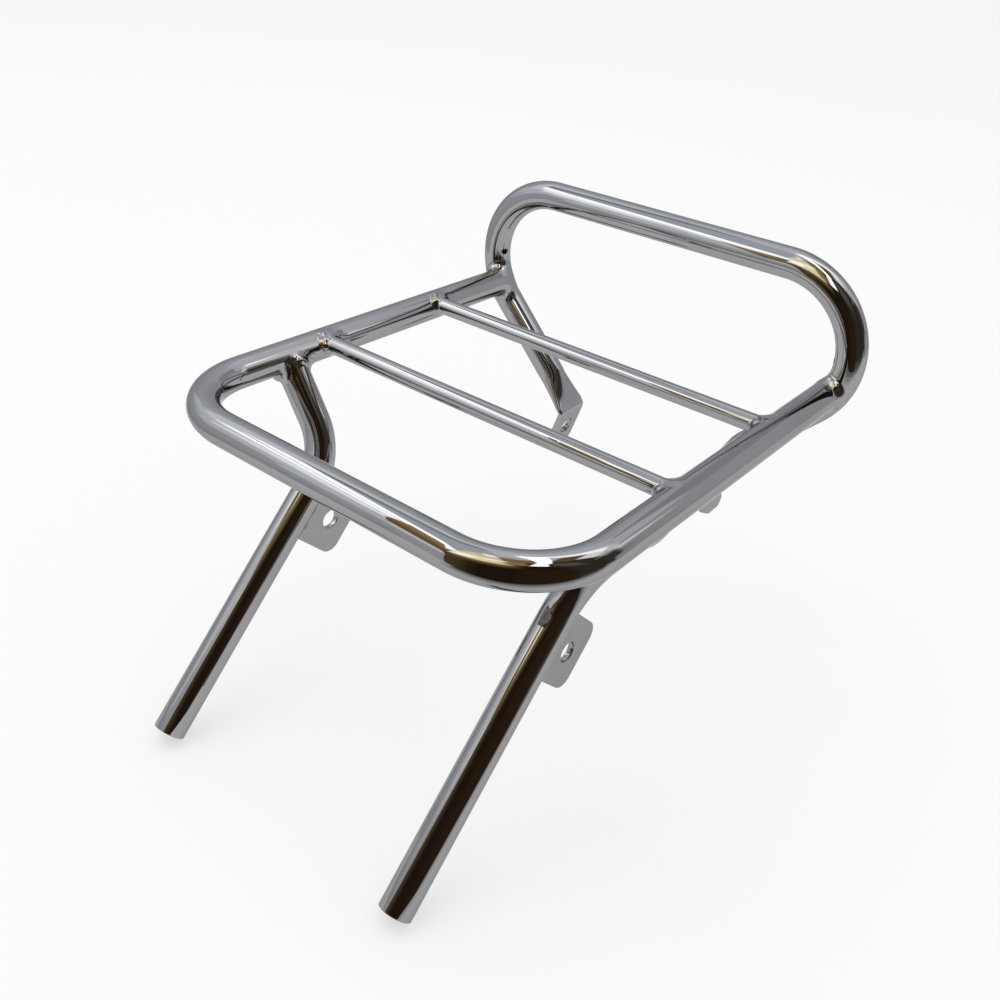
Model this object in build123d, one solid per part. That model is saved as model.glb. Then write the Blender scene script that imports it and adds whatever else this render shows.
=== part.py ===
from build123d import *
from math import cos, radians, sin, sqrt, tan
import os

# A chromed luggage rack for a motorcycle: bent and welded steel tube, with two rods across the deck.
# Millimetres and degrees. +Y is rearward, +Z is up and X = 0 is the plane of symmetry. The origin is
# the middle of the plane that luggage rests on, which touches the top of the deck tubes. Right is +X:
# pieces that come in pairs are made on that side and mirrored.

# Stock
tube_diameter = 14.0
tube_wall = 1.5
rod_diameter = 8.0
plate_thickness = 3.0

# Deck
rail_spacing = 190.0        # rail axis to rail axis
deck_length = 218.0         # front bar's axis to the tail loop's axis, at deck height
bend_radius = 37.0          # tube axis, in the hoop and in the tail loop
front_rod_station = 83.7    # rods, behind the front bar's axis
rear_rod_station = 158.6
rod_lift = 1.9              # rod axis above the rail axis

# Tail loop
loop_height = 52.6          # top bar's axis above the deck tubes' axis
loop_outset = 2.35          # its axis outside the rails' axes, at deck height
loop_lean = 2.3             # the loop's plane tips forward as it rises
strut_lean = 43.3           # struts run inward as they fall, measured from upright
fold_depth = 60.1           # fold line below the deck tubes' axis, in the loop's plane

# Strut ends, crushed flat and folded into ears
crush_length = 25.0
flat_length = 2.0           # flat tube between the crush and the fold line
flat_thickness = 3.0        # the two walls pressed together
bore_slit = 0.3             # what is left of the bore between them
ear_width = 22.0
ear_length = 25.0           # fold line to tip
ear_lean = 15.6             # ears run outward as they fall, measured from upright
ear_sweep = 5.7             # ears run forward as they fall
ear_corner_radius = 8.5
ear_hole_station = 11.5     # hole centre below the fold line
ear_trim = 0.1              # the cutter for its rounded tip is wider than the ear on each side
fold_radius = 2.5           # at mid thickness
crush_corner_angle = 30     # where a round section's sides and flats part as it is crushed
crush_steps = {0.0: 0.0, 0.3: 0.14, 0.7: 0.64, 1.0: 1.0}    # share of the length: share of the crush

# Front legs
leg_station = 63.2          # upper leg's plane behind the front bar's axis
leg_spacing = 137.0         # between the lower legs' axes
leg_drop = 39.1             # corner of the leg's axis below the rail axis
leg_bend_radius = 35.0
leg_slope = 46.7            # lower leg below level, running forward
leg_length = 140.6          # corner of the axis to the open end

# Leg tabs
tab_station = 10.1          # upper edge, along the leg from the corner of its axis
tab_width = 30.3
tab_reach = 36.2            # outer edge from the leg axis
tab_corner_radius = 6.5
tab_hole_station = 25.5
tab_hole_reach = 22.6
bolt_hole_diameter = 9.0    # in tabs and ears, for an 8 mm bolt

# Welds
root_gap = 0.1              # left between the pieces before welding
rod_bead = 2.4              # leg of the bead round a rod end
tube_bead = 3.0             # leg of the bead where a tube meets a tube
bead_cover = 0.5            # thickness over the sides of the branch
bead_start = 0.5            # beads begin this far out from the through tube's axis
tab_bead = 3.0              # leg of the beads along a tab
tab_bead_inset = 2.5        # those beads stop short of the tab's edges

tube_radius = tube_diameter / 2
rod_radius = rod_diameter / 2
rail_x = rail_spacing / 2
leg_x = leg_spacing / 2
deck_z = -tube_radius
front_y = -deck_length / 2
loop_y = deck_length / 2
leg_y = front_y + leg_station
rod_z = deck_z + rod_lift

rods = {"front": front_y + front_rod_station, "rear": front_y + rear_rod_station}


def bar(path, radius):
    """Solid round bar along a path."""
    return sweep(Plane(origin=path @ 0, z_dir=path % 0) * Circle(radius), path=path)


def tube(path):
    return bar(path, tube_radius) - bar(path, tube_radius - tube_wall)


# Deck hoop: front bar and side rails in one tube, its rail ends shaped to the tail loop.

hoop_corners = [(-rail_x, loop_y), (-rail_x, front_y), (rail_x, front_y), (rail_x, loop_y)]
hoop_path = Pos(0, 0, deck_z) * FilletPolyline(*hoop_corners, radius=bend_radius)


def rail(radius):
    """Solid bar on the right rail's axis, from the hoop's bend to the tail loop's plane."""
    bend_end = (rail_x, front_y + bend_radius, deck_z)
    return bar(Line(bend_end, (rail_x, loop_y, deck_z)), radius)


# Tail loop, in its own plane: local x is the rack's X, local y runs up and local z forward.

loop_plane = Plane(
    origin=(0, loop_y, deck_z),
    x_dir=(1, 0, 0),
    z_dir=(0, -cos(radians(loop_lean)), -sin(radians(loop_lean))),
)
bend_rise = loop_height - bend_radius
bend_reach = sqrt(bend_radius**2 - bend_rise**2)
half_turn = radians(90 + strut_lean) / 2
corner_x = rail_x + loop_outset - bend_reach + bend_radius * tan(half_turn)
strut_down = Vector(-sin(radians(strut_lean)), -cos(radians(strut_lean)))
ear_down = Vector(sin(radians(ear_lean)), -cos(radians(ear_lean)))
fold_point = Vector(corner_x - (loop_height + fold_depth) * tan(radians(strut_lean)), -fold_depth)
flat_start = fold_point - strut_down * flat_length
crush_start = flat_start - strut_down * crush_length
loop_corners = [
    (-crush_start.X, crush_start.Y),
    (-corner_x, loop_height),
    (corner_x, loop_height),
    (crush_start.X, crush_start.Y),
]
loop_path = loop_plane.location * FilletPolyline(*loop_corners, radius=bend_radius)


def across(point, direction):
    """Plane across the right strut, in loop coordinates, with local x along the width of the flat."""
    return Plane(origin=(point.X, point.Y, 0), x_dir=(0, 0, 1), z_dir=(direction.X, direction.Y, 0))


def crushed_section(share, radius, flat_half):
    """Section between a round of the given radius and a flat of the given half thickness."""
    angle = radians(crush_corner_angle)
    flat_edge = (ear_width - flat_thickness) / 2
    corner_out = radius * cos(angle) * (1 - share) + flat_edge * share
    corner_up = radius * sin(angle) * (1 - share) + flat_half * share
    top = radius * (1 - share) + flat_half * share
    side = radius * (1 - share) + (flat_edge + flat_half) * share
    edges = []
    for turn in (1, -1):
        start = (-turn * corner_out, turn * corner_up)
        end = (turn * corner_out, turn * corner_up)
        flat = Line(start, end) if share == 1 else ThreePointArc(start, (0, turn * top), end)
        edges += [flat, ThreePointArc(end, (turn * side, 0), (turn * corner_out, -turn * corner_up))]
    return make_face(edges)


def crush(radius, flat_half):
    """Solid that goes from round to flat down the right strut."""
    sections = [
        across(crush_start + strut_down * crush_length * along, strut_down)
        * crushed_section(share, radius, flat_half)
        for along, share in crush_steps.items()
    ]
    return loft(sections)


def ear():
    """Flat end of the right strut: folded over, swept forward, rounded at the tip and holed."""
    flat = crushed_section(1, tube_radius, flat_thickness / 2)
    ear_start = fold_point + ear_down * fold_radius
    fold_path = FilletPolyline(flat_start, fold_point, ear_start, radius=fold_radius)
    strip = sweep(across(flat_start, strut_down) * flat, path=fold_path)

    shift = tan(radians(ear_sweep))
    straight = ear_length - fold_radius
    swept_down = (ear_down.X, ear_down.Y, shift)
    tongue = extrude(
        across(ear_start, ear_down) * flat,
        amount=straight * sqrt(1 + shift**2),
        dir=swept_down,
    )
    face = Plane(
        origin=(ear_start.X, ear_start.Y, 0),
        x_dir=(0, 0, 1),
        z_dir=(-ear_down.Y, ear_down.X, 0),
    )
    tip = shift * straight
    half = ear_width / 2 + ear_trim
    outline = Polygon(
        (-half, 0),
        (half, 0),
        (half + tip, straight),
        (-half + tip, straight),
        align=None,
    )
    outline = fillet(outline.vertices().sort_by(Axis.Y)[-2:], ear_corner_radius)
    hole_down = ear_hole_station - fold_radius
    hole = Pos(shift * hole_down, hole_down) * Circle(bolt_hole_diameter / 2)
    tongue &= face * extrude(outline - hole, amount=flat_thickness, both=True)
    return strip + tongue


def both_ends(solid):
    """A solid of the right strut and its mirror image, set in the loop's plane."""
    return loop_plane.location * (solid + mirror(solid, about=Plane.YZ))


def tail_loop():
    bore_radius = tube_radius - tube_wall
    outside = bar(loop_path, tube_radius) + both_ends(crush(tube_radius, flat_thickness / 2) + ear())
    return outside - bar(loop_path, bore_radius) - both_ends(crush(bore_radius, bore_slit / 2))


# Front legs: down and inward from the rails, then forward and down to an open end.

leg_ahead = Vector(0, -cos(radians(leg_slope)), -sin(radians(leg_slope)))
leg_corner = Vector(leg_x, leg_y, deck_z - leg_drop)
leg_end = leg_corner + leg_ahead * leg_length
leg_path = FilletPolyline((rail_x, leg_y, deck_z), leg_corner, leg_end, radius=leg_bend_radius)

# Plane of a lower leg and its tab: local x along the leg, local y behind it, local z the rack's X.
leg_plane = Plane(origin=leg_corner, x_dir=leg_ahead, z_dir=(1, 0, 0))


def leg_tab():
    """Plate that stands on the rear of a leg, with rounded outer corners and a bolt hole."""
    seat = tube_radius + root_gap
    blank = Pos(tab_station, seat) * Rectangle(tab_width, tab_reach - seat, align=(Align.MIN, Align.MIN))
    blank = fillet(blank.vertices().sort_by(Axis.Y)[-2:], tab_corner_radius)
    hole = Pos(tab_hole_station, tab_hole_reach) * Circle(bolt_hole_diameter / 2)
    return leg_plane.location * extrude(blank - hole, amount=plate_thickness / 2, both=True)


# Weld beads


def ring_bead(joint, main, branch, main_radius, branch_radius, leg):
    """Bead in the corner round a branch: half an ellipsoid, less the two bars.

    The joint's plane has its origin where the axes meet, local x along the main bar and local z along
    the branch. In the plane of both axes the ellipse passes through the bead's two toes.
    """
    main_toe = branch_radius + leg
    branch_toe = main_radius + leg
    scale_square = (main_toe * branch_toe) ** 2 - (main_radius * branch_radius) ** 2
    along_main = sqrt(scale_square / (branch_toe**2 - main_radius**2))
    along_branch = sqrt(scale_square / (main_toe**2 - branch_radius**2))
    shoulder = sqrt(max(main_radius**2 - branch_radius**2, 0)) + leg
    aside = branch_radius / sqrt(1 - (shoulder / along_branch) ** 2) + bead_cover
    lump = joint.location * scale(Sphere(1), by=(along_main, aside, along_branch))
    return split(lump, bisect_by=joint.offset(bead_start), keep=Keep.TOP) - (main + branch)


def rail_weld():
    """Bead round a rail's end, on the tail loop's bend."""
    up_the_loop = loop_plane.y_dir * bend_reach + loop_plane.x_dir * bend_rise
    joint = Plane(origin=(rail_x, loop_y, deck_z), x_dir=up_the_loop, z_dir=(0, -1, 0))
    main = bar(loop_path, tube_radius)
    return ring_bead(joint, main, rail(tube_radius), tube_radius, tube_radius, tube_bead)


def rod_weld(y):
    joint = Plane(origin=(rail_x, y, rod_z), x_dir=(0, 1, 0), z_dir=(-1, 0, 0))
    branch = bar(Line((rail_x, y, rod_z), (0, y, rod_z)), rod_radius)
    return ring_bead(joint, rail(tube_radius), branch, tube_radius, rod_radius, rod_bead)


def leg_weld():
    joint = Plane(origin=leg_path @ 0, x_dir=(0, 1, 0), z_dir=leg_path % 0)
    branch = bar(leg_path, tube_radius)
    return ring_bead(joint, rail(tube_radius), branch, tube_radius, tube_radius, tube_bead)


def tab_weld(face):
    """Round-ended bead between a leg and one face of its tab; face is 1 on the outer side."""
    face_z = face * plate_thickness / 2
    root_reach = sqrt(tube_radius**2 - face_z**2)
    first = tab_station + tab_bead_inset + tab_bead
    last = tab_station + tab_width - tab_bead_inset - tab_bead
    ends = [(first, root_reach, face_z), (last, root_reach, face_z)]
    bead = bar(Line(*ends), tab_bead) + [Pos(*end) * Sphere(tab_bead) for end in ends]
    beside = Plane(origin=(0, 0, face_z), z_dir=(0, 0, face))
    bead = split(bead, bisect_by=beside, keep=Keep.TOP)
    return leg_plane.location * bead - bar(leg_path, tube_radius)


single = {
    "deck_hoop": tube(hoop_path) - bar(loop_path, tube_radius + root_gap),
    "tail_loop": tail_loop(),
}
paired = {
    "front_leg": tube(leg_path) - rail(tube_radius + root_gap),
    "leg_tab": leg_tab(),
    "weld_rail": rail_weld(),
    "weld_leg": leg_weld(),
    "weld_tab_inner": tab_weld(-1),
    "weld_tab_outer": tab_weld(1),
}
for name, y in rods.items():
    rod = bar(Line((-rail_x, y, rod_z), (rail_x, y, rod_z)), rod_radius)
    single[f"cross_rod_{name}"] = rod - bar(hoop_path, tube_radius + root_gap)
    paired[f"weld_rod_{name}"] = rod_weld(y)

os.makedirs("parts", exist_ok=True)
for node, solid in single.items():
    export_step(solid, f"parts/{node}.step")
for node, solid in paired.items():
    export_step(solid, f"parts/{node}_right.step")
    export_step(mirror(solid, about=Plane.YZ), f"parts/{node}_left.step")
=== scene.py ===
import bpy
import bmesh
from math import acos, asin, cos, pi, radians, sin, sqrt, tan
from mathutils import Euler, Matrix, Vector, noise


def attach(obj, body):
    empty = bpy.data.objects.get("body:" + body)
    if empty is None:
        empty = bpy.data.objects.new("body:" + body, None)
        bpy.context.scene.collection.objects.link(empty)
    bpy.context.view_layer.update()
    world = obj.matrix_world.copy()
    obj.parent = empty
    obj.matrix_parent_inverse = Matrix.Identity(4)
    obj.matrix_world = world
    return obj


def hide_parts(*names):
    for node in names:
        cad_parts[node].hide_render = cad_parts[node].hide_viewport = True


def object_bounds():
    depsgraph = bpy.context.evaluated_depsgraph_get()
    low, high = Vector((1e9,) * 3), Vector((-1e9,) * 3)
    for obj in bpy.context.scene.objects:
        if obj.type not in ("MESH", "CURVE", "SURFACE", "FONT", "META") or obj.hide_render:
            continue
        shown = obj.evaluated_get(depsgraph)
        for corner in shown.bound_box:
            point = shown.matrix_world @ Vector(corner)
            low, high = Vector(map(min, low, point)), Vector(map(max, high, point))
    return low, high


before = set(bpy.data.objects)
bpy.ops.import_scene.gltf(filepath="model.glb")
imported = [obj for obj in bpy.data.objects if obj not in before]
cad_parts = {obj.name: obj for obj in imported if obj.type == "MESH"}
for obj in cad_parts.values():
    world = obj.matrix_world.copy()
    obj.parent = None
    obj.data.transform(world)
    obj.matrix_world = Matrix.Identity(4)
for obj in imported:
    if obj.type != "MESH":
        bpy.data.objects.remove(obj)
cadBox = [list(corner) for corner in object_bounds()]
print("frame loaded:", len(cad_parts), "solids")

# The rack's sizes are in millimetres, the stage's in metres. Meshes are written in metres.
mm = 0.001
alongX, alongY, alongZ = Vector((1, 0, 0)), Vector((0, 1, 0)), Vector((0, 0, 1))


class Wire:  # a socket that takes part in Python sums
    def __init__(self, graph, socket):
        self.graph, self.socket = graph, socket

    def __add__(self, other):
        return self.graph.maths("ADD", self, other)

    def __radd__(self, other):
        return self.graph.maths("ADD", other, self)

    def __sub__(self, other):
        return self.graph.maths("SUBTRACT", self, other)

    def __rsub__(self, other):
        return self.graph.maths("SUBTRACT", other, self)

    def __mul__(self, other):
        return self.graph.maths("MULTIPLY", self, other)

    def __rmul__(self, other):
        return self.graph.maths("MULTIPLY", other, self)


class Graph:  # one node tree
    def __init__(self, tree):
        self.tree = tree
        tree.nodes.clear()

    def node(self, kind, settings=None, inputs=None, out=0):
        made = self.tree.nodes.new(kind)
        for name, value in (settings or {}).items():
            setattr(made, name, value)
        for name, value in (inputs or {}).items():
            if isinstance(value, Wire):
                self.tree.links.new(value.socket, made.inputs[name])
            else:
                made.inputs[name].default_value = value
        return Wire(self, made.outputs[out]) if len(made.outputs) else made

    def maths(self, operation, a, b):
        return self.node("ShaderNodeMath", {"operation": operation}, {0: a, 1: b})

    def step(self, value, low, high, atLow=0.0, atHigh=1.0):  # soft step from one level to another
        return self.node("ShaderNodeMapRange", {"interpolation_type": "SMOOTHSTEP"},
                         {"Value": value, "From Min": low, "From Max": high,
                          "To Min": atLow, "To Max": atHigh})

    def blend(self, share, a, b):  # colours
        return self.node("ShaderNodeMix", {"data_type": "RGBA"}, {0: share, 6: a, 7: b}, out=2)

    def speckle(self, place, scale, detail, rough, stretch=None):
        if stretch:
            place = self.node("ShaderNodeVectorMath", {"operation": "MULTIPLY"}, {0: place, 1: stretch})
        return self.node("ShaderNodeTexNoise", None,
                         {"Vector": place, "Scale": scale, "Detail": detail, "Roughness": rough})


def newMaterial(name):
    made = bpy.data.materials.new(name)
    made.use_nodes = True
    return made, Graph(made.node_tree)


# "wave" and "lines" are depths in metres: slow waves of the plating, and polish marks along the tube
chromeLooks = {
    "tubeChrome": {"colour": (0.337, 0.335, 0.341), "gloss": 0.02, "haze": 0.05,
                   "wave": 0.00003, "lines": 0.0000004},
    "rodChrome": {"colour": (0.340, 0.338, 0.344), "gloss": 0.03, "haze": 0.05,
                  "wave": 0.00002, "lines": 0.0000004},
    "plateChrome": {"colour": (0.312, 0.310, 0.316), "gloss": 0.05, "haze": 0.09,
                    "wave": 0.00004, "lines": 0.0},
    "weldChrome": {"colour": (0.337, 0.335, 0.341), "gloss": 0.03, "haze": 0.08,
                   "wave": 0.00003, "lines": 0.0},
}
# how fine each kind of mark is, in marks per metre
chromeMarks = {"cloud": 22, "smear": 95, "dust": 900, "wave": 46, "lines": (14, 420, 1), "pits": 130.0}
chromeWear = {"dull": 0.93, "dustHaze": 0.05, "pitDepth": 0.00002, "rimTint": (0.65, 0.65, 0.65, 1)}


def chrome(name):
    look, marks, wear = chromeLooks[name], chromeMarks, chromeWear
    made, g = newMaterial(name)
    place = g.node("ShaderNodeTexCoord", None, None, out="Object")
    cloud = g.speckle(place, marks["cloud"], 3, 0.55)
    smear = g.speckle(place, marks["smear"], 2, 0.6)
    dust = g.speckle(place, marks["dust"], 1, 0.5)
    film = g.step(cloud, 0.42, 0.72) * 0.7 + g.step(smear, 0.55, 0.8) * 0.3
    rough = look["gloss"] + film * look["haze"] + g.step(dust, 0.68, 0.74) * wear["dustHaze"]
    dull = tuple(wear["dull"] * c for c in look["colour"])
    colour = g.blend(film, (*look["colour"], 1), (*dull, 1))
    wave = g.speckle(place, marks["wave"], 1, 0.4)
    bump = g.node("ShaderNodeBump", None, {"Strength": 1.0, "Distance": look["wave"], "Height": wave})
    if look["lines"]:
        along = g.node("ShaderNodeTexCoord", None, None, out="UV")
        lines = g.speckle(along, 1.0, 2, 0.6, stretch=marks["lines"])
        bump = g.node("ShaderNodeBump", None,
                      {"Strength": 1.0, "Distance": look["lines"], "Height": lines, "Normal": bump})
    pits = g.node("ShaderNodeTexVoronoi", None,
                  {"Vector": place, "Scale": marks["pits"], "Randomness": 1.0})
    dent = g.step(pits, 0.03, 0.07)
    bump = g.node("ShaderNodeBump", None,
                  {"Strength": 1.0, "Distance": wear["pitDepth"], "Height": dent, "Normal": bump})
    metal = g.node("ShaderNodeBsdfPrincipled", None,
                   {"Base Color": colour, "Metallic": 1.0, "Specular Tint": wear["rimTint"],
                    "Roughness": rough, "Normal": bump})
    g.node("ShaderNodeOutputMaterial", None, {"Surface": metal})
    return made


finishes = {name: chrome(name) for name in chromeLooks}
print("finishes mixed:", ", ".join(finishes))


edgeCrease = 40  # degrees; a sharper edge stays hard


def squareUp(mesh, join=0.00001):  # doubled points joined, faces turned outwards
    work = bmesh.new()
    work.from_mesh(mesh)
    if join:
        bmesh.ops.remove_doubles(work, verts=work.verts, dist=join)
        bmesh.ops.dissolve_degenerate(work, edges=work.edges, dist=join)
    bmesh.ops.recalc_face_normals(work, faces=work.faces)
    work.to_mesh(mesh)
    work.free()


def addPiece(name, rings, finish, node):
    points, faces = skin(rings)
    mesh = bpy.data.meshes.new(name)
    mesh.from_pydata([p * mm for p in points], [], faces)
    lengths = markLengths(rings)
    layer = mesh.uv_layers.new(name="along")
    for loop in mesh.loops:
        layer.data[loop.index].uv = lengths[loop.vertex_index]
    squareUp(mesh)
    return addMesh(name, mesh, finish, node)


def addMesh(name, mesh, finish, node, crease=edgeCrease):
    mesh.shade_smooth()
    mesh.set_sharp_from_angle(angle=radians(crease))
    piece = bpy.data.objects.new(name, mesh)
    bpy.context.scene.collection.objects.link(piece)
    mesh.materials.clear()
    mesh.materials.append(finishes[finish])
    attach(piece, "root")
    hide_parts(node)
    return piece


def bentRun(corners, radius, turnStep=1.5, runStep=12.0):
    # points and headings along straight runs and round the bends between them
    places = [(corners[0], (corners[1] - corners[0]).normalized())]
    for before, corner, after in zip(corners, corners[1:], corners[2:]):
        inward, onward = (corner - before).normalized(), (after - corner).normalized()
        turn = acos(max(-1, min(1, inward.dot(onward))))
        setback = radius * tan(turn / 2)
        start = corner - inward * setback
        centre = start + (onward - inward * inward.dot(onward)).normalized() * radius
        axis = inward.cross(onward).normalized()
        addRun(places, start, runStep)
        count = max(2, round(turn / radians(turnStep)))
        for i in range(1, count + 1):
            spin = Matrix.Rotation(turn * i / count, 3, axis)
            places.append((centre + spin @ (start - centre), spin @ inward))
    addRun(places, corners[-1], runStep)
    return places


def addRun(places, end, runStep):
    start, heading = places[-1][0], (end - places[-1][0]).normalized()
    count = max(1, round((end - start).length / runStep))
    for i in range(1, count + 1):
        places.append((start + (end - start) * i / count, heading))


def skin(rings):  # quads between rings of equal count, closed at both ends, facing outwards
    around = len(rings[0])
    faces = []
    for k in range(len(rings) - 1):
        for i in range(around):
            j = (i + 1) % around
            faces.append((k * around + j, k * around + i, (k + 1) * around + i, (k + 1) * around + j))
    last = (len(rings) - 1) * around
    faces.append(tuple(range(around)))
    faces.append(tuple(range(last, last + around))[::-1])
    return [p for ring in rings for p in ring], faces


def circleRings(run, radius, flatNormal, around=64):
    rings = []
    for point, heading in run:
        side = heading.cross(flatNormal).normalized()
        rings.append([point + (side * cos(a) + flatNormal * sin(a)) * radius
                      for a in (2 * pi * i / around for i in range(around))])
    return rings


def markLengths(rings):  # how far along and round each point lies, in metres, for the polish marks
    girth = 0.044  # of the main tube
    marks, run, last = [], 0.0, None
    for ring in rings:
        middle = sum(ring, Vector()) / len(ring)
        run += (middle - last).length * mm if last else 0.0
        last = middle
        marks += [(run, i / len(ring) * girth) for i in range(len(ring))]
    return marks


# "buried" is how far the rail ends stop short, inside their welds
deckHoop = {"tube": 14.0, "railApart": 190.0, "length": 218.0, "bend": 37.0, "buried": 1.5}
deckZ = -deckHoop["tube"] / 2
tubeR = deckHoop["tube"] / 2
railX = deckHoop["railApart"] / 2
backY = deckHoop["length"] / 2


def makeDeckHoop():
    endY = backY - deckHoop["buried"]
    corners = [Vector(c) for c in ((-railX, endY, deckZ), (-railX, -backY, deckZ),
                                   (railX, -backY, deckZ), (railX, endY, deckZ))]
    rings = circleRings(bentRun(corners, deckHoop["bend"]), tubeR, alongZ)
    addPiece("deckHoop", rings, "tubeChrome", "deck_hoop")


makeDeckHoop()
print("deck hoop bent")


# Each end of the loop is crushed flat over "crush", stays flat over "flat", folds, and goes on as an ear.
# "crushSteps" are (share of the way, share crushed), with the slope between them and at the end.
tailLoop = {
    "height": 52.6, "outset": 2.35, "lean": 2.3, "strutLean": 43.3, "foldDepth": 60.1,
    "crush": 25.0, "flat": 2.0, "thick": 3.0, "width": 22.0, "earLength": 25.0, "earLean": 15.6,
    "earSweep": 5.7, "tipRadius": 8.5, "tipSoft": 0.25, "holeDown": 11.5, "hole": 9.0, "chamfer": 0.35,
    "fold": 2.5, "crushSteps": ((0.0, 0.0), (0.3, 0.14), (0.7, 0.64), (1.0, 1.0)),
    "crushSlope": 1.25, "endSlope": 1.1, "crushRings": 40, "partAngle": 30.0,
}
loopTilt = radians(tailLoop["lean"])
loopFrame = Matrix(((1, 0, 0, 0),
                    (0, -sin(loopTilt), -cos(loopTilt), backY),
                    (0, cos(loopTilt), -sin(loopTilt), deckZ),
                    (0, 0, 0, 1)))  # loop x, up and forward, to the rack's own frame
bendRise = tailLoop["height"] - deckHoop["bend"]
bendReach = sqrt(deckHoop["bend"] ** 2 - bendRise ** 2)
bendX = railX + tailLoop["outset"] - bendReach


def arcThrough(a, b, c, count):
    # points from a towards c on the circle through b, without c
    ax, ay, bx, by, cx, cy = *a, *b, *c
    d = 2 * (ax * (by - cy) + bx * (cy - ay) + cx * (ay - by))
    if abs(d) < 1e-6:
        return [(ax + (cx - ax) * i / count, ay + (cy - ay) * i / count) for i in range(count)]
    sa, sb, sc = ax * ax + ay * ay, bx * bx + by * by, cx * cx + cy * cy
    ox = (sa * (by - cy) + sb * (cy - ay) + sc * (ay - by)) / d
    oy = (sa * (cx - bx) + sb * (ax - cx) + sc * (bx - ax)) / d
    first, last = Vector((ax - ox, ay - oy)), Vector((cx - ox, cy - oy))
    sweep = last.angle_signed(first)
    found = []
    for i in range(count):
        turned = first.copy()
        turned.rotate(Matrix.Rotation(sweep * i / count, 2))
        found.append((ox + turned.x, oy + turned.y))
    return found


def crushedRing(share):  # outline between a round tube and a flat
    part = radians(tailLoop["partAngle"])
    flatHalf = tailLoop["thick"] / 2
    flatEdge = tailLoop["width"] / 2 - flatHalf
    out = tubeR * cos(part) * (1 - share) + flatEdge * share
    up = tubeR * sin(part) * (1 - share) + flatHalf * share
    top = tubeR * (1 - share) + flatHalf * share
    side = tubeR * (1 - share) + (flatEdge + flatHalf) * share
    ring = []
    for s in (1, -1):
        ring += arcThrough((-s * out, s * up), (0, s * top), (s * out, s * up), 22)
        ring += arcThrough((s * out, s * up), (s * side, 0), (s * out, -s * up), 10)
    return ring


def cutTo(ring, half):  # outline cut off square at both sides
    return [(max(-half, min(half, x)), y) for x, y in ring]


def smoothShare(along):  # a smooth curve through the crush steps
    steps, slope = tailLoop["crushSteps"], tailLoop["crushSlope"]
    for (a, sa), (b, sb) in zip(steps, steps[1:]):
        if along <= b:
            w = b - a
            x = (along - a) / w
            da = 0.0 if a == 0 else slope
            db = tailLoop["endSlope"] if b == 1 else slope
            return ((2 * x**3 - 3 * x**2 + 1) * sa + (x**3 - 2 * x**2 + x) * w * da
                    + (3 * x**2 - 2 * x**3) * sb + (x**3 - x**2) * w * db)
    return 1.0


def makeTailLoop():
    t = tailLoop
    bend = deckHoop["bend"]
    lean, earLean = radians(t["strutLean"]), radians(t["earLean"])
    cornerX = bendX + bend * tan((pi / 2 + lean) / 2)
    down = Vector((-sin(lean), -cos(lean), 0))
    earDown = Vector((sin(earLean), -cos(earLean), 0))
    foldPoint = Vector((cornerX - (t["height"] + t["foldDepth"]) * tan(lean), -t["foldDepth"], 0))
    flatStart = foldPoint - down * t["flat"]
    crushStart = flatStart - down * t["crush"]
    forward = alongZ

    def lay(ring, point, heading, shift=0.0, thin=1.0):
        up = heading.cross(forward)
        return [point + forward * (x + shift) + up * y * thin for x, y in ring]

    # right end, from the tube to the tip of the ear
    rings = []
    for i in range(1, t["crushRings"] + 1):
        share = i / t["crushRings"]
        rings.append(lay(crushedRing(smoothShare(share)), crushStart + down * t["crush"] * share, down))
    flat = crushedRing(1.0)
    earStart = foldPoint + earDown * t["fold"]
    for point, heading in bentRun([flatStart, foldPoint, earStart], t["fold"], 3.0, 2.0)[1:]:
        rings.append(lay(flat, point, heading))
    straight = t["earLength"] - t["fold"]
    slide = tan(radians(t["earSweep"]))
    soft = t["tipSoft"]
    square = straight - t["tipRadius"]
    stations = [square * i / 7 for i in range(1, 8)]
    stations += [square + t["tipRadius"] * sin(radians(a)) for a in range(6, 88, 6)]
    outline = [(s, 1.0) for s in stations if s <= straight - soft]
    for a in (0, 30, 60, 85):  # the cut tip is eased
        ease = soft * (1 - cos(radians(a)))
        outline.append((straight - soft + soft * sin(radians(a)), 1 - ease / (t["thick"] / 2)))
    for s, thin in outline:
        reach = max(0.0, s - square)
        half = t["width"] / 2 - t["tipRadius"] + sqrt(max(0.0, t["tipRadius"] ** 2 - reach**2))
        rings.append(lay(cutTo(flat, half), earStart + earDown * s, earDown, slide * s, thin))

    # the tube between, and the left end as a mirror image
    middle = [Vector((-crushStart.x, crushStart.y, 0)), Vector((-cornerX, t["height"], 0)),
              Vector((cornerX, t["height"], 0)), crushStart]
    roundRing = crushedRing(0.0)
    body = [lay(roundRing, point, heading) for point, heading in bentRun(middle, bend)]
    flip = Matrix.Scale(-1, 3, alongX)
    left = [[flip @ p for p in ring] for ring in reversed(rings)]
    every = [[loopFrame @ p for p in ring] for ring in left + body + rings]
    piece = addPiece("tailLoop", every, "tubeChrome", "tail_loop")

    s = t["holeDown"] - t["fold"]
    centre = earStart + earDown * s + forward * slide * s
    drill(piece, centre, earDown.cross(forward), forward, earDown)


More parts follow.
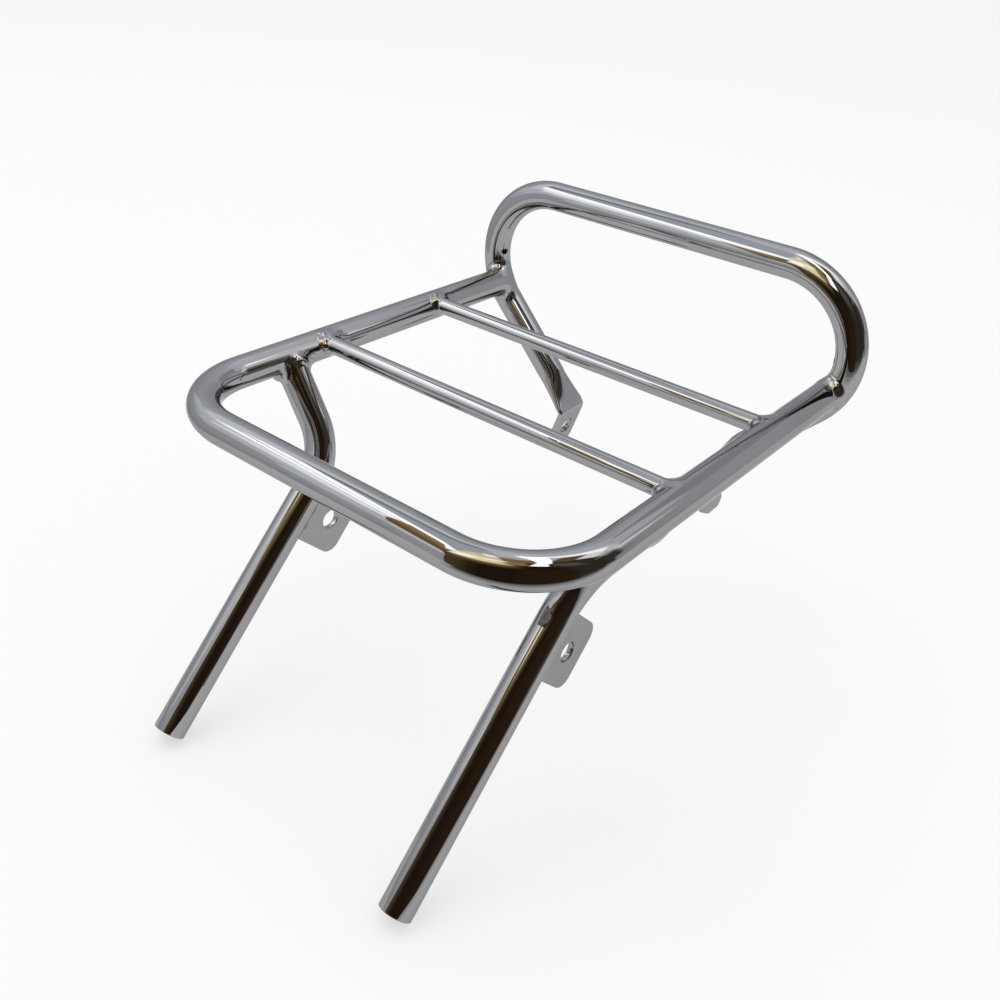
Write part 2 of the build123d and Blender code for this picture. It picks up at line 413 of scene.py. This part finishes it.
def drill(piece, centre, normal, across, along):  # bolt holes with a light chamfer, both ears in one cut
    radius, chamfer, half = tailLoop["hole"] / 2, tailLoop["chamfer"], tailLoop["thick"] / 2
    deep, around = 5.0, 48  # how far the cutter stands out, and its points round
    flare = radius + chamfer
    profile = [(-deep, flare + deep - half), (-half, flare), (-half + chamfer, radius),
               (half - chamfer, radius), (half, flare), (deep, flare + deep - half)]
    points, faces = [], []
    for side in (-1, 1):
        rings = []
        for lift, wide in profile:
            ring = []
            for i in range(around):
                a = 2 * pi * i / around
                p = centre + normal * lift + (across * cos(a) + along * sin(a)) * wide
                ring.append(loopFrame @ Vector((p.x * side, p.y, p.z)) * mm)
            rings.append(ring)
        spots, quads = skin(rings)
        faces += [tuple(len(points) + k for k in quad) for quad in quads]
        points += spots
    mesh = bpy.data.meshes.new("cutter")
    mesh.from_pydata(points, [], faces)
    squareUp(mesh)
    cutter = bpy.data.objects.new("cutter", mesh)
    bpy.context.scene.collection.objects.link(cutter)
    cut = piece.modifiers.new("hole", "BOOLEAN")
    cut.object, cut.operation, cut.solver = cutter, "DIFFERENCE", "EXACT"
    bpy.context.view_layer.update()
    shaped = bpy.data.meshes.new_from_object(piece.evaluated_get(bpy.context.evaluated_depsgraph_get()))
    piece.modifiers.remove(cut)
    old, piece.data = piece.data, shaped
    squareUp(shaped)
    shaped.shade_smooth()
    shaped.set_sharp_from_angle(angle=radians(edgeCrease))
    bpy.data.objects.remove(cutter)
    bpy.data.meshes.remove(old)


makeTailLoop()
print("tail loop bent, crushed and drilled")


# "lift" is above the rails' centre lines, and "short" is how far before them a rod ends
crossRods = {"rod": 8.0, "lift": 1.9, "front": 83.7, "rear": 158.6, "short": 2.5}
rodR = crossRods["rod"] / 2
rodZ = deckZ + crossRods["lift"]


def makeCrossRods():
    reach = railX - crossRods["short"]
    for which in ("front", "rear"):
        y = -backY + crossRods[which]
        run = bentRun([Vector((-reach, y, rodZ)), Vector((reach, y, rodZ))], 0.0, runStep=10)
        rings = circleRings(run, rodR, alongZ, 48)
        addPiece("crossRod" + which.title(), rings, "rodChrome", "cross_rod_" + which)


makeCrossRods()
print("cross rods laid")


# "rim" rounds the edges of the open lower end
frontLegs = {"station": 63.2, "apart": 137.0, "drop": 39.1, "bend": 35.0, "slope": 46.7, "length": 140.6,
             "wall": 1.5, "rim": 0.35}
# "station" is along the leg from its bend, "reach" and "holeReach" are out from the leg's centre line
legTabs = {"thick": 3.0, "station": 10.1, "width": 30.3, "reach": 36.2, "corner": 6.5, "holeAlong": 25.5,
           "holeReach": 22.6, "hole": 9.0, "soft": 0.45, "rootGap": 0.1, "crease": 30}
legY = -backY + frontLegs["station"]
legSlope = radians(frontLegs["slope"])
legAhead = Vector((0, -cos(legSlope), -sin(legSlope)))
legBehind = Vector((0, sin(legSlope), -cos(legSlope)))
sides = {"Left": -1, "Right": 1}


def legCorner(side):
    return Vector((side * frontLegs["apart"] / 2, legY, deckZ - frontLegs["drop"]))


def makeFrontLegs():
    f = frontLegs
    bore = tubeR - f["wall"]
    for label, side in sides.items():
        top = Vector((side * railX, legY, deckZ))
        end = legCorner(side) + legAhead * f["length"]
        run = bentRun([top, legCorner(side), end], f["bend"])
        flatNormal = (legCorner(side) - top).cross(legAhead).normalized()
        # down the outside, over the rounded rim and back up the bore
        tip, heading = run[-1]
        rimTurns = (0.0, 0.5, 1.0, pi / 2)
        rim = [(tip - heading * f["rim"] * (1 - sin(a)), heading) for a in rimTurns]
        ease = [f["rim"] * (1 - cos(a)) for a in rimTurns]
        places = run[:-1] + rim + rim[::-1] + run[1:-1][::-1]
        radii = [tubeR] * (len(run) - 1) + [tubeR - e for e in ease]
        radii += [bore + e for e in ease[::-1]] + [bore] * (len(run) - 2)
        rings = [circleRings([place], r, flatNormal)[0] for place, r in zip(places, radii)]
        addPiece("frontLeg" + label, rings, "tubeChrome", "front_leg_" + label.lower())


def makeLegTabs():
    t = legTabs
    seat = tubeR + t["rootGap"]
    for label, side in sides.items():
        sheet = bpy.data.curves.new("legTab" + label, "CURVE")
        sheet.dimensions, sheet.fill_mode = "2D", "BOTH"
        sheet.extrude = (t["thick"] / 2 - t["soft"]) * mm
        sheet.bevel_depth, sheet.bevel_resolution, sheet.offset = t["soft"] * mm, 3, -t["soft"] * mm
        low, high = t["station"], t["station"] + t["width"]
        edge = [(low, seat), (high, seat)]
        for centreX, start in ((high - t["corner"], 0), (low + t["corner"], 90)):
            centreY = t["reach"] - t["corner"]
            for a in range(start, start + 91, 6):
                x, y = t["corner"] * cos(radians(a)), t["corner"] * sin(radians(a))
                edge.append((centreX + x, centreY + y))
        hole = []
        for i in range(64):
            a = 2 * pi * i / 64
            hole.append((t["holeAlong"] + t["hole"] / 2 * cos(a), t["holeReach"] + t["hole"] / 2 * sin(a)))
        for outline in (edge, hole[::-1]):
            spline = sheet.splines.new("POLY")
            spline.points.add(len(outline) - 1)
            for point, (x, y) in zip(spline.points, outline):
                point.co = (x * mm, y * mm, 0, 1)
            spline.use_cyclic_u = True
        blank = bpy.data.objects.new("blank", sheet)
        bpy.context.scene.collection.objects.link(blank)
        bpy.context.view_layer.update()
        mesh = bpy.data.meshes.new_from_object(blank.evaluated_get(bpy.context.evaluated_depsgraph_get()))
        corner = legCorner(side) * mm
        mesh.transform(Matrix(((0, 0, 1, corner.x), (legAhead.y, legBehind.y, 0, corner.y),
                               (legAhead.z, legBehind.z, 0, corner.z), (0, 0, 0, 1))))
        bpy.data.objects.remove(blank)
        bpy.data.curves.remove(sheet)
        squareUp(mesh)
        addMesh("legTab" + label, mesh, "plateChrome", "leg_tab_" + label.lower(), t["crease"])


makeFrontLegs()
makeLegTabs()
print("legs bent, tabs cut")


# How far a bead reaches from its corner: up the branch, along the main tube both ways ("fore", "aft") and
# round the main tube's two sides ("near", "far"). "start" is how far up the branch its metal is counted
# from, and "lump" is the unevenness of hand laying.
weldBeads = {
    "rail": {"branch": 6.0, "fore": 6.0, "aft": 4.5, "near": 6.5, "far": 5.0, "start": 6.0, "lump": 0.012},
    "leg": {"branch": 6.0, "fore": 6.0, "aft": 8.0, "near": 3.0, "far": 1.8, "start": 5.0, "lump": 0.1},
    "rod": {"branch": 3.6, "fore": 4.0, "aft": 9.0, "near": 4.0, "far": 4.0, "start": 4.0, "lump": 0.03},
    "tab": {"leg": 3.0, "pull": 0.85, "lump": 0.35, "inset": 2.5, "sink": 0.1, "buried": 0.6},
}
# How each bead round a tube is laid out: points round and across, depth of its inner edge, uneven edge,
# overlap past its reach, limits of its fan, fillet of a lump, and the share feathered at both edges.
# "farthest", "close" and "tries" end the search for its skin.
beadForm = {"around": 160, "steps": 26, "inset": 1.6, "uneven": 0.12, "overMain": 1.04, "overBranch": 1.03,
            "mostTurn": 0.85, "heartReach": 5.0, "lumpFillet": 1.8, "feather": 0.18, "sink": 0.04,
            "farthest": 14.0, "close": 0.003, "tries": 50, "crease": 60}
# lumps: (degrees round the branch, share of the way across the bead, radius, rise)
weldBlobs = {
    "weld_rail_left": ((-165, 0.06, 0.5, 0.7), (-172, 0.03, 0.4, 0.7)),
    "weld_rail_right": ((10, 0.42, 1.1, 0.45), (-6, 0.45, 1.1, 0.45), (-22, 0.48, 1.2, 0.4)),
    "weld_leg_left": ((66, 0.9, 1.6, 0.5), (84, 0.9, 1.6, 0.5), (195, 0.5, 1.4, 0.3)),
    "weld_leg_right": ((150, 0.5, 1.2, 0.3),),
    "weld_rod_front_left": ((150, 0.5, 1.8, 0.5), (120, 0.3, 1.3, 0.45), (175, 0.55, 1.4, 0.5)),
    "weld_rod_front_right": ((160, 0.5, 1.0, 0.4),),
    "weld_rod_rear_left": ((140, 0.5, 1.6, 0.5), (110, 0.35, 1.1, 0.45)),
    "weld_rod_rear_right": ((150, 0.5, 1.0, 0.4),),
}


def wobble(place, size, seed):  # slow unevenness of a hand-laid bead, about -1 to 1
    return noise.noise(Vector(place) / size + Vector((seed * 7.3, seed * 3.1, -seed * 5.7)))


def fuse(a, b, reach):  # the nearer of two distances, with a fillet between them
    near = max(reach - abs(a - b), 0.0) / reach
    return min(a, b) - near * near * reach / 4


def lineGap(p, start, way, radius):  # distance from a round bar that begins at start and runs on
    along = max(0.0, (p - start).dot(way))
    return (p - start - way * along).length - radius


def slopeOf(gap, p):  # the way a distance grows fastest at p
    step = 0.02
    rise = [gap(p + way * step) - gap(p - way * step) for way in (alongX, alongY, alongZ)]
    return Vector(rise).normalized()


def beadRound(node, axes, mainGap, branchR, seat, sizes, seed):
    # axes: joint centre on the main tube's axis, then along the main tube, across it, along the branch
    f = beadForm
    around, steps, inset = f["around"], f["steps"], f["inset"]
    centre, u, v, w = axes
    foot = centre + u * seat[0] + v * seat[1]
    name = "".join(word.title() if k else word for k, word in enumerate(node.split("_")))

    def fan(a):  # the bead's inner point, and the ways from there to its edges and its middle
        c, s = cos(a), sin(a)
        e = u * c + v * s
        rootV = branchR * s + seat[1]
        rootW = sqrt(max(0.0, tubeR**2 - rootV**2))
        long = sizes["aft" if c > 0 else "fore"] * c * c + sizes["far" if s > 0 else "near"] * s * s
        long *= 1 + f["uneven"] * wobble(e * 6, 4.0, seed)
        mainReach, branchReach = f["overMain"] * long, f["overBranch"] * sizes["branch"]
        turn = max(-f["mostTurn"], min(f["mostTurn"], mainReach * s / tubeR))
        lean = asin(max(-1, min(1, rootV / tubeR))) + turn
        axis = foot - v * seat[1]
        mainToe = axis + u * c * (branchR + mainReach) + (v * sin(lean) + w * cos(lean)) * tubeR
        branchToe = foot + e * branchR + w * sqrt((tubeR + branchReach) ** 2 - rootV**2)
        heartV = max(-f["heartReach"], min(f["heartReach"], (branchR - inset) * s + seat[1]))
        heart = axis + u * c * (branchR - inset) + v * heartV + w * max(0.0, rootW - inset)
        middle = (e + w * (rootW / tubeR)).normalized()
        return heart, (mainToe - heart).normalized(), middle, (branchToe - heart).normalized(), long

    def surface(a, share, blobs):
        heart, mainWay, middle, branchWay, long = fan(a)
        way = mainWay.slerp(middle, 2 * share) if share < 0.5 else middle.slerp(branchWay, 2 * share - 1)
        stretch = long / sizes["branch"]
        body = 16 * (share * (1 - share)) ** 2 * sizes["lump"]  # full at mid bead, none at its edges

        def gap(q):  # both tubes, the fillet and its lumps
            branch = lineGap(q, foot + w * sizes["start"], w, branchR) / stretch
            d = fuse(mainGap(q), branch, sizes["branch"])
            for spot, radius in blobs:
                d = fuse(d, (q - spot).length - radius, f["lumpFillet"])
            return d - body * (wobble(q, 3.0, seed) + 0.35 * wobble(q, 1.3, seed + 4))

        run = 0.0
        for attempt in range(f["tries"]):
            p = heart + way * run
            d = gap(p)
            run = min(run - d * min(1.0, stretch), f["farthest"])
            if abs(d) < f["close"]:
                break
        # feathered into the tubes at both edges, in place and in shading
        edge = max(0.0, 1 - min(share, 1 - share) / f["feather"]) ** 2
        tube = mainGap if share < 0.5 else lambda q: lineGap(q, foot, w, branchR)
        out = slopeOf(tube, p)
        facing = slopeOf(gap, p).lerp(out, edge).normalized()
        return heart, p - out * (tube(p) + f["sink"]) * edge, way, facing

    blobs = []
    for angle, share, radius, rise in weldBlobs[node]:
        heart, p, way, facing = surface(radians(angle), share, ())
        blobs.append((p - way * radius * (1 - rise), radius))
    points, normals = [], []
    for i in range(around):
        found = [surface(2 * pi * i / around, k / steps, blobs) for k in range(steps + 1)]
        points += [p for heart, p, way, facing in found] + [found[0][0]]
        normals += [facing for heart, p, way, facing in found] + [-found[steps // 2][2]]
    count = steps + 2
    faces = []
    for i in range(around):
        j = (i + 1) % around
        for k in range(count):
            m = (k + 1) % count
            faces.append((i * count + k, j * count + k, j * count + m, i * count + m))
    addBead(name, node, points, faces).data.normals_split_custom_set_from_vertices(normals)


def addBead(name, node, points, faces):
    mesh = bpy.data.meshes.new(name)
    mesh.from_pydata([p * mm for p in points], [], faces)
    squareUp(mesh, 0)
    return addMesh(name, mesh, "weldChrome", node, beadForm["crease"])


def railGap(p, side):
    return Vector((p.x - side * railX, 0, p.z - deckZ)).length - tubeR


def loopGap(p, side):  # the tail loop's bend, and its strut below that
    bend, lean = deckHoop["bend"], radians(tailLoop["strutLean"])
    q = loopFrame.inverted() @ p
    x, y = q.x * side - bendX, q.y - bendRise
    past = -x * sin(lean) - y * cos(lean)
    if past > 0:
        ring = x * cos(lean) - y * sin(lean) - bend
    else:
        ring = sqrt(x * x + y * y) - bend
    return sqrt(ring**2 + q.z**2) - tubeR


def makeRodWelds():
    for which in ("front", "rear"):
        for label, side in sides.items():
            centre = Vector((side * railX, -backY + crossRods[which], deckZ))
            beadRound(f"weld_rod_{which}_{label.lower()}", (centre, alongY, alongZ, alongX * -side),
                      lambda p: railGap(p, side), rodR, (0.0, crossRods["lift"]), weldBeads["rod"],
                      1 + side + (5 if which == "rear" else 0))


def makeLegWelds():
    for label, side in sides.items():
        top = Vector((side * railX, legY, deckZ))
        downLeg = (legCorner(side) - top).normalized()
        beadRound("weld_leg_" + label.lower(), (top, alongY, alongY.cross(downLeg) * side, downLeg),
                  lambda p: railGap(p, side), tubeR, (0.0, 0.0), weldBeads["leg"], 12 + side)


def makeRailWelds():
    bend = deckHoop["bend"]
    for label, side in sides.items():
        outward = (loopFrame.to_3x3() @ Vector((side * bendReach, -bendRise, 0))) / bend
        upward = (loopFrame.to_3x3() @ Vector((side * bendRise, bendReach, 0))) / bend
        centre = loopFrame @ Vector((side * (bendX + bendReach), 0, 0))
        shift = Vector((-side * tailLoop["outset"], 0, 0))
        beadRound("weld_rail_" + label.lower(), (centre, upward, outward, -alongY),
                  lambda p: loopGap(p, side), tubeR, (shift.dot(upward), shift.dot(outward)),
                  weldBeads["rail"], 20 + side)


def makeTabWelds():
    sizes = weldBeads["tab"]
    first = legTabs["station"] + sizes["inset"]
    last = legTabs["station"] + legTabs["width"] - sizes["inset"]
    long, steps = 64, 10
    faceX = legTabs["thick"] / 2
    root = Vector((faceX, sqrt(tubeR**2 - faceX**2)))
    for label, side in sides.items():
        for face, way in (("Inner", -1), ("Outer", 1)):
            seed = 30 + side * 3 + way
            rings = []
            for i in range(long + 1):
                share = i / long
                station = first + (last - first) * share
                taper = max(0.02, 1 - abs(2 * share - 1) ** 5) ** 0.6  # runs out at both ends
                size = sizes["leg"] * taper * (1 + 0.25 * wobble((station, 0, 0), 4.0, seed))
                lean = asin(faceX / tubeR) + size / tubeR
                legToe = Vector((sin(lean), cos(lean))) * (tubeR - sizes["sink"])
                tabToe = Vector((faceX - sizes["sink"], root.y + size))
                pull = root.lerp((legToe + tabToe) / 2, sizes["pull"])
                section = []
                for k in range(steps + 1):
                    s = k / steps
                    p = legToe * (1 - s) ** 2 + pull * 2 * s * (1 - s) + tabToe * s**2
                    lift = (p - root).normalized() * sizes["lump"] * taper * sin(pi * s)
                    ripple = 0.12 * sin(station * 2.6)
                    section.append(p + lift * (wobble((station, p.x * 2, p.y * 2), 2.4, seed) + ripple))
                section.append(root - Vector((sizes["buried"], sizes["buried"])))
                middle = legCorner(side) + legAhead * station
                rings.append([middle + alongX * side * way * p.x + legBehind * p.y for p in section])
            points, faces = skin(rings)
            addBead("weldTab" + face + label, f"weld_tab_{face.lower()}_{label.lower()}", points, faces)


makeRodWelds()
makeLegWelds()
makeRailWelds()
makeTabWelds()
print("welds laid")


# A paper floor under a pale sky, and a light tent that only the chrome sees. "floorSeen" is how far the
# paper glows white to the camera and the chrome, and "skySeen" is what they see on top of the sky's light.
# "mirror" is the chrome's own tone, and "folds" is the unevenness of the tent's cloth.
studio = {"floorColour": (0.93, 0.93, 0.93), "floorSize": 8.0, "floorSeen": 0.55, "fibre": 300,
          "sky": 0.88, "skySeen": 0.1, "key": 9.0, "keySize": 1.6, "keyPlace": (-0.5, -0.2, 1.9),
          "mirror": 0.336, "folds": 0.24}

# The tent stands square to the camera: u runs to the camera's right, depth towards the camera.
tentRight, tentDepth, tentUp = Vector((0.81, 0.587, 0)), Vector((0.587, -0.81, 0)), alongZ
white = (255, 255, 255)

# Each side: where it stands, its two axes, its reach or corners, its ground as (axis, from, to, two tones)
# and panes laid over it. A pane is (u from, u to, v from, v to, soft edge, tone, lean of u with v, boost),
# and the last two may be left out.
tentSides = {
    "ceiling": {
        "at": tentUp * 0.7, "axes": (tentRight, tentDepth), "reach": (-1.3, 1.3, -0.95, 0.36),
        "ground": (0, -0.6, 0.5, (184, 187, 192), (154, 155, 158)),
        "panes": (
            (-2.0, 2.0, -1.5, -0.66, 0.35, (143, 145, 148)),
            (0.38, 1.50, -1.50, -0.53, 0.08, (118, 119, 122)),
            (0.38, 1.50, -0.52, -0.30, 0.06, (153, 154, 156)),
            (0.38, 1.50, -0.32, -0.08, 0.10, (174, 174, 175)),
            (-1.3, -0.52, -0.20, 0.50, 0.08, (210, 211, 214)),
            (-0.745, -0.70, -0.27, 0.20, 0.03, (160, 162, 164)),
            (-0.52, -0.08, -0.39, 0.14, 0.05, (146, 151, 156)),
            (-0.52, -0.36, 0.10, 0.50, 0.05, (142, 146, 150)),
            (-0.52, -0.10, -0.39, -0.25, 0.04, (110, 115, 119)),
            (-0.46, -0.09, 0.22, 0.50, 0.04, (208, 190, 138)),
            (-0.33, -0.09, 0.13, 0.30, 0.04, (206, 188, 142)),
            (-0.18, -0.10, 0.05, 0.14, 0.04, (240, 240, 240)),
            (-0.09, 0.02, -0.03, 0.10, 0.05, (150, 151, 161)),
            (-0.09, 0.14, 0.10, 0.50, 0.04, (112, 91, 56)),
            (0.24, 1.50, 0.14, 0.50, 0.05, (50, 42, 30)),
            (0.22, 0.42, -0.06, 0.20, 0.05, (82, 64, 39)),
            (0.42, 0.72, -0.12, 0.13, 0.06, (205, 203, 205)),
            (0.02, 0.62, -0.23, -0.10, 0.03, (240, 240, 241)),
            (-0.86, -0.75, -0.24, 0.50, 0.02, white, 0.05, 1.1),
            (-0.69, -0.55, -0.31, 0.50, 0.02, white, 0.0, 1.1),
            (0.0, 0.11, -0.20, 0.50, 0.02, white, 0.32, 1.2),
        ),
    },
    "opening": {
        "at": tentDepth * 0.30, "axes": (tentRight, tentUp), "reach": (-1.3, 1.3, -0.152, 0.7),
        "ground": (0, -0.26, -0.10, (62, 51, 33), (28, 19, 12)),
        "panes": (
            (0.22, 1.50, -0.20, 0.80, 0.16, (40, 37, 31)),
            (0.02, 0.24, -0.16, 0.12, 0.08, (36, 25, 14)),
            (-0.36, 0.00, 0.17, 0.32, 0.10, (104, 88, 56)),
            (-0.42, -0.02, 0.25, 0.80, 0.06, (214, 200, 156)),
            (-0.05, 0.06, 0.30, 0.80, 0.05, (120, 104, 70)),
            (-0.40, -0.22, 0.29, 0.56, 0.08, (244, 242, 233)),
            (-0.20, -0.10, 0.44, 0.62, 0.08, (238, 236, 226)),
            (0.20, 0.46, 0.28, 0.66, 0.16, (72, 71, 66)),
            (0.06, 0.15, 0.31, 0.80, 0.02, white, 0.22, 1.1),
            (-1.30, -0.70, 0.40, 0.80, 0.12, (194, 196, 198)),
            (-0.75, -0.42, 0.44, 0.80, 0.10, (240, 240, 238)),
            (0.28, 1.50, -0.20, -0.10, 0.04, (66, 64, 59)),
        ),
    },
    "flap": {
        "at": tentDepth * 0.25, "axes": (tentRight, tentUp),
        "corners": ((-0.96, -0.152), (-0.25, -0.152), (-0.25, 0.06), (-0.56, 0.40), (-0.96, 0.40)),
        "ground": (1, 0.02, 0.18, (134, 135, 138), (166, 169, 173)),
        "panes": (),
    },
    "card": {
        "at": tentRight * -0.25, "axes": (tentDepth, tentUp),
        "corners": ((0.185, 0.045), (0.23, 0.045), (0.23, 0.15), (0.15, 0.25), (0.10, 0.25), (0.165, 0.10)),
        "ground": (1, 0.10, 0.22, (84, 68, 38), (132, 112, 72)),
        "panes": (
            (-1.0, 1.0, 0.0, 0.085, 0.03, (178, 178, 176)),
        ),
    },
    # painted shadow: a sheet at floor level, seen only in the chrome, that darkens its reflection of the
    # floor towards the camera as if the floor lay in shade there
    "mat": {
        "at": tentUp * (cadBox[0][2] + 0.002), "axes": (tentRight, tentDepth),
        "reach": (-0.25, 0.95, 0.18, 0.30),
        "ground": (1, 0.18, 0.29, (146, 145, 145), (82, 81, 79)),
        "panes": (),
    },
    "leftSide": {
        "at": tentRight * -0.95, "axes": (tentDepth, tentUp), "reach": (-0.95, 0.36, -0.152, 0.7),
        "ground": (1, 0.05, 0.62, (133, 134, 138), (168, 171, 176)),
        "panes": (
            (-0.25, 0.25, 0.22, 0.55, 0.12, (163, 166, 170)),
            (-0.04, 0.50, 0.48, 0.90, 0.16, (216, 217, 219)),
        ),
    },
    "leftSkirt": {
        "at": tentRight * -0.43, "axes": (tentDepth, tentUp), "reach": (-0.95, 0.25, -0.152, -0.05),
        "ground": (0, -0.3, 0.2, (130, 131, 134), (124, 125, 127)),
        "panes": (),
    },
    "backSide": {
        "at": tentDepth * -0.95, "axes": (tentRight, tentUp), "reach": (-1.3, 1.3, -0.152, 0.7),
        "ground": (1, 0.2, 0.75, (131, 132, 135), (144, 146, 150)),
        "panes": (
            (0.34, 1.50, 0.36, 0.90, 0.20, (120, 121, 126)),
        ),
    },
    "rightSide": {
        "at": tentRight * 0.95, "axes": (tentDepth, tentUp), "reach": (-0.95, 0.36, -0.152, 0.7),
        "ground": (0, -0.3, 0.05, (132, 133, 136), (120, 119, 118)),
        "panes": (
            (-0.27, -0.12, 0.40, 0.80, 0.05, (188, 186, 183)),
            (-0.06, 0.80, 0.10, 0.56, 0.14, (48, 44, 38)),
            (0.12, 0.80, -0.08, 0.66, 0.08, (44, 41, 34)),
        ),
    },
}


def glowTone(tone, boost=1.0):  # light that a mirror of this chrome shows as the given eight-bit tone
    return (*(boost * ((c / 255 + 0.055) / 1.055) ** 2.4 / studio["mirror"] for c in tone), 1)


def oblong(left, right, low, high):
    return (left, low), (right, low), (right, high), (left, high)


def stageMesh(name, corners, z, material):
    mesh = bpy.data.meshes.new(name)
    mesh.from_pydata([(x, y, z) for x, y in corners], [], [tuple(range(len(corners)))])
    mesh.materials.append(material)
    thing = bpy.data.objects.new(name, mesh)
    bpy.context.scene.collection.objects.link(thing)
    return thing


def seenRays(g):  # 1 for what the camera sees, straight or in the chrome
    kinds = ("Is Camera Ray", "Is Glossy Ray", "Is Transmission Ray")
    return sum(g.node("ShaderNodeLightPath", None, None, out=kind) for kind in kinds)


def makeFloor():
    made, g = newMaterial("paperSweep")
    place = g.node("ShaderNodeTexCoord", None, None, out="Object")
    fibre = g.speckle(place, studio["fibre"], 3, 0.6)
    low = tuple(0.985 * c for c in studio["floorColour"])
    colour = g.blend(fibre, (*low, 1), (*studio["floorColour"], 1))
    paper = g.node("ShaderNodeBsdfPrincipled", None,
                   {"Base Color": colour, "Roughness": 0.9, "Specular IOR Level": 0.1})
    # the camera and the chrome see the paper nearly white, and its shadows still show
    glow = g.node("ShaderNodeEmission", None, {"Color": (1, 1, 1, 1), "Strength": 1.0})
    lit = g.node("ShaderNodeMixShader", None, {0: seenRays(g) * studio["floorSeen"], 1: paper, 2: glow})
    g.node("ShaderNodeOutputMaterial", None, {"Surface": lit})
    half = studio["floorSize"]
    stageMesh("paperFloor", oblong(-half, half, -half, half), cadBox[0][2], made)


def paneShare(g, u, v, left, right, low, high, soft, lean):  # 1 on the pane, 0 off it
    edge = soft / 2
    if lean:
        u = u - (v - low) * lean
    inU = g.step(u, left - edge, left + edge) * g.step(u, right - edge, right + edge, 1.0, 0.0)
    inV = g.step(v, low - edge, low + edge) * g.step(v, high - edge, high + edge, 1.0, 0.0)
    return inU * inV


def makeTentSide(name, side):
    made, g = newMaterial(name + "Cloth")
    made.cycles.emission_sampling = "NONE"
    place = g.node("ShaderNodeTexCoord", None, None, out="Object")
    spots = [g.node("ShaderNodeSeparateXYZ", None, {0: place}, out=i) for i in range(2)]
    axis, start, end, near, far = side["ground"]
    colour = g.blend(g.step(spots[axis], start, end), glowTone(near), glowTone(far))
    for left, right, low, high, soft, tone, *more in side["panes"]:
        lean, boost = more if more else (0.0, 1.0)
        share = paneShare(g, *spots, left, right, low, high, soft, lean)
        colour = g.blend(share, colour, glowTone(tone, boost))
    # cloth is never quite even
    folds = 1 - studio["folds"] / 2 + g.speckle(place, 7, 2, 0.5) * studio["folds"]
    colour = g.node("ShaderNodeVectorMath", {"operation": "SCALE"}, {0: colour, "Scale": folds})
    light = g.node("ShaderNodeEmission", None, {"Color": colour, "Strength": 1.0})
    g.node("ShaderNodeOutputMaterial", None, {"Surface": light})
    corners = side["corners"] if "corners" in side else oblong(*side["reach"])
    panel = stageMesh("tent" + name.title(), corners, 0, made)
    u, v = side["axes"]
    panel.matrix_world = Matrix((u, v, u.cross(v))).transposed().to_4x4()
    panel.matrix_world.translation = side["at"]
    for kind in ("camera", "diffuse", "shadow", "transmission", "volume_scatter"):  # out of shot
        setattr(panel, "visible_" + kind, False)


def makeLight():
    world = bpy.data.worlds.new("paleSky")
    bpy.context.scene.world = world
    world.use_nodes = True
    g = Graph(world.node_tree)
    glow = studio["sky"] + seenRays(g) * studio["skySeen"]
    sky = g.node("ShaderNodeBackground", None, {"Color": (1, 1, 1, 1), "Strength": glow})
    g.node("ShaderNodeOutputWorld", None, {"Surface": sky})
    lamp = bpy.data.lights.new("softKey", "AREA")
    lamp.energy, lamp.size = studio["key"], studio["keySize"]
    key = bpy.data.objects.new("softKey", lamp)
    key.location = studio["keyPlace"]
    key.rotation_euler = (-key.location).to_track_quat("-Z", "Y").to_euler()  # aimed at the rack
    key.visible_glossy = False
    bpy.context.scene.collection.objects.link(key)


# place in metres, turn in degrees
viewpoint = {"place": (0.233515, -0.322299, 0.182963), "turn": (58.4695, -4.2198, 39.0417),
             "lens": 36.876, "sensor": 36.0, "clip": (0.01, 50)}


def makeCamera():
    data = bpy.data.cameras.new("camera")
    data.lens, data.sensor_width = viewpoint["lens"], viewpoint["sensor"]
    data.clip_start, data.clip_end = viewpoint["clip"]
    camera = bpy.data.objects.new("camera", data)
    camera.location = viewpoint["place"]
    camera.rotation_euler = Euler([radians(a) for a in viewpoint["turn"]])
    bpy.context.scene.collection.objects.link(camera)
    bpy.context.scene.camera = camera


makeFloor()
for sideName, sidePlan in tentSides.items():
    makeTentSide(sideName, sidePlan)
makeLight()
makeCamera()
bpy.context.scene.view_settings.view_transform = "Standard"
print("stage set")
